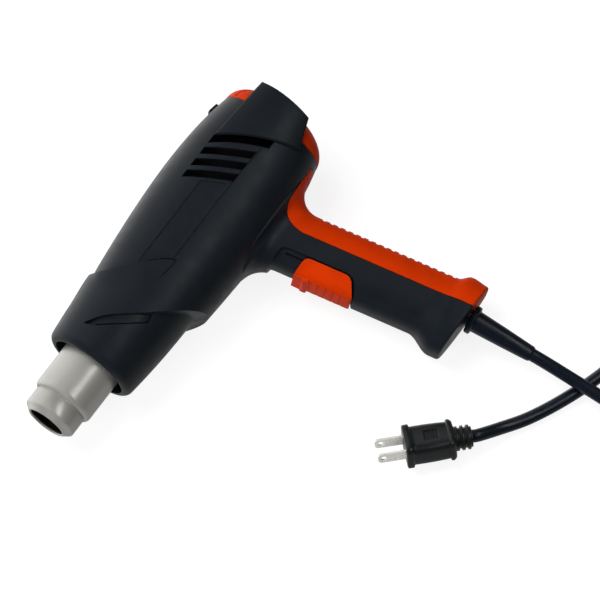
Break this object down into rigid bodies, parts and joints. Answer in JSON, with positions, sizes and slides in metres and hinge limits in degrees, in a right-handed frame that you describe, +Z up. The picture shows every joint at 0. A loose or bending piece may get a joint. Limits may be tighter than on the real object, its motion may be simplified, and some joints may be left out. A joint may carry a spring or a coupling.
{
  "type": "hot air tool",
  "caption": "Pistol-grip hot air tool on its side: stepped steel nozzle, plastic barrel with intake slots, orange cap, strap and slide switch, with its cord coiled and a bladed plug.",
  "frame": {"origin": "centre of the floor area under the tool without its cord, on the floor it lies on", "axes": "+X from the nozzle to the rear cap, +Y away from the grip, +Z up out of the left side"},
  "size_m": [0.3229, 0.4024, 0.0764],
  "materials": {
    "black_plastic": "satin, fine grain",
    "orange_plastic": "satin",
    "stainless": "satin stainless",
    "mica": "layered mica board",
    "heating_wire": "oxidised wire",
    "dark_steel": "zinc plated",
    "grey_plastic": "matt",
    "circuit_board": "laminate",
    "brass": "stamped",
    "nickel": "nickel plated",
    "cord_rubber": "smooth flexible sheath",
    "filter_foam": "open foam"
  },
  "bodies": {
    "body": {"left_housing": "black_plastic", "right_housing": "black_plastic", "left_side_panel": "black_plastic", "right_side_panel": "black_plastic", "cap_latch": "black_plastic", "rear_cap": "orange_plastic", "back_strap": "orange_plastic", "nozzle_tube": "stainless", "mica_sleeve": "mica", "heater_former": "mica", "heater_coil": "heating_wire", "thermal_cutout": "dark_steel", "motor_can": "dark_steel", "housing_screw_1": "dark_steel", "housing_screw_2": "dark_steel", "housing_screw_3": "dark_steel", "housing_screw_4": "dark_steel", "housing_screw_5": "dark_steel", "housing_screw_6": "dark_steel", "clamp_screw_1": "dark_steel", "clamp_screw_2": "dark_steel", "air_duct": "grey_plastic", "motor_end_bell": "grey_plastic", "motor_bracket": "grey_plastic", "switch_body": "grey_plastic", "cord_clamp": "grey_plastic", "rectifier_board": "circuit_board", "switch_terminal_live": "brass", "switch_terminal_load": "brass", "plug_blade_1": "nickel", "plug_blade_2": "nickel", "inner_cord": "cord_rubber", "supply_wire_live": "cord_rubber", "supply_wire_neutral": "cord_rubber", "strain_relief": "cord_rubber", "cord_lead": "cord_rubber", "cord_coil": "cord_rubber", "cord_tail": "cord_rubber", "cord_tie": "cord_rubber", "plug_body": "cord_rubber", "left_intake_filter": "filter_foam", "right_intake_filter": "filter_foam"},
    "rotor": {"fan_impeller": "grey_plastic", "motor_shaft": "dark_steel", "motor_armature": "dark_steel"},
    "switch": {"slide_switch": "orange_plastic", "switch_lever": "grey_plastic"}
  },
  "joints": [
    {"name": "fan_spin", "type": "hinge", "parent": "body", "child": "rotor", "pos_m": [0.01896, 0.0628, 0.03615], "axis": [0.9995, -0.0018, 0.0313], "continuous": true},
    {"name": "switch_slide", "type": "slide", "parent": "body", "child": "switch", "axis": [-0.2241, 0.9688, 0.1057], "range_m": [0, 0.012]}
  ]
}
